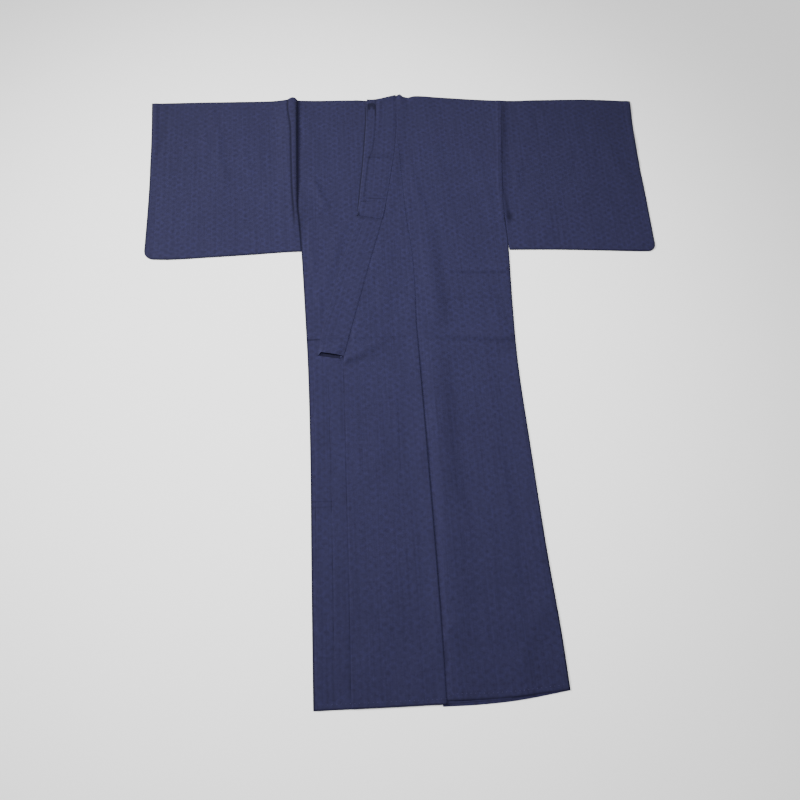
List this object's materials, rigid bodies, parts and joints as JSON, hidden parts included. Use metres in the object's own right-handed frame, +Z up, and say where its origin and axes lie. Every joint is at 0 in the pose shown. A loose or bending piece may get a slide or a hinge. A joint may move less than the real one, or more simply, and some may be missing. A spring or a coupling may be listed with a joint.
{
  "type": "kimono",
  "caption": "Wrapped cotton robe laid flat and closed left over right, with straight sleeves, an overlap panel, and a collar band with a shorter second collar on it.",
  "frame": {"origin": "on the surface that the garment lies on, under the middle of its length and width", "axes": "+Y along the length from the hem to the shoulders, +Z up out of the surface, +X to the wearer's left"},
  "size_m": [1.3354, 1.5406, 0.0105],
  "materials": {
    "woven_cloth": "matt plain weave with a small woven repeat"
  },
  "bodies": {
    "root": {"body_right": "woven_cloth", "body_left": "woven_cloth", "sleeve_right": "woven_cloth", "sleeve_left": "woven_cloth", "overlap_left": "woven_cloth", "overlap_right": "woven_cloth", "collar_left": "woven_cloth", "collar_right": "woven_cloth", "over_collar": "woven_cloth"}
  },
  "joints": []
}
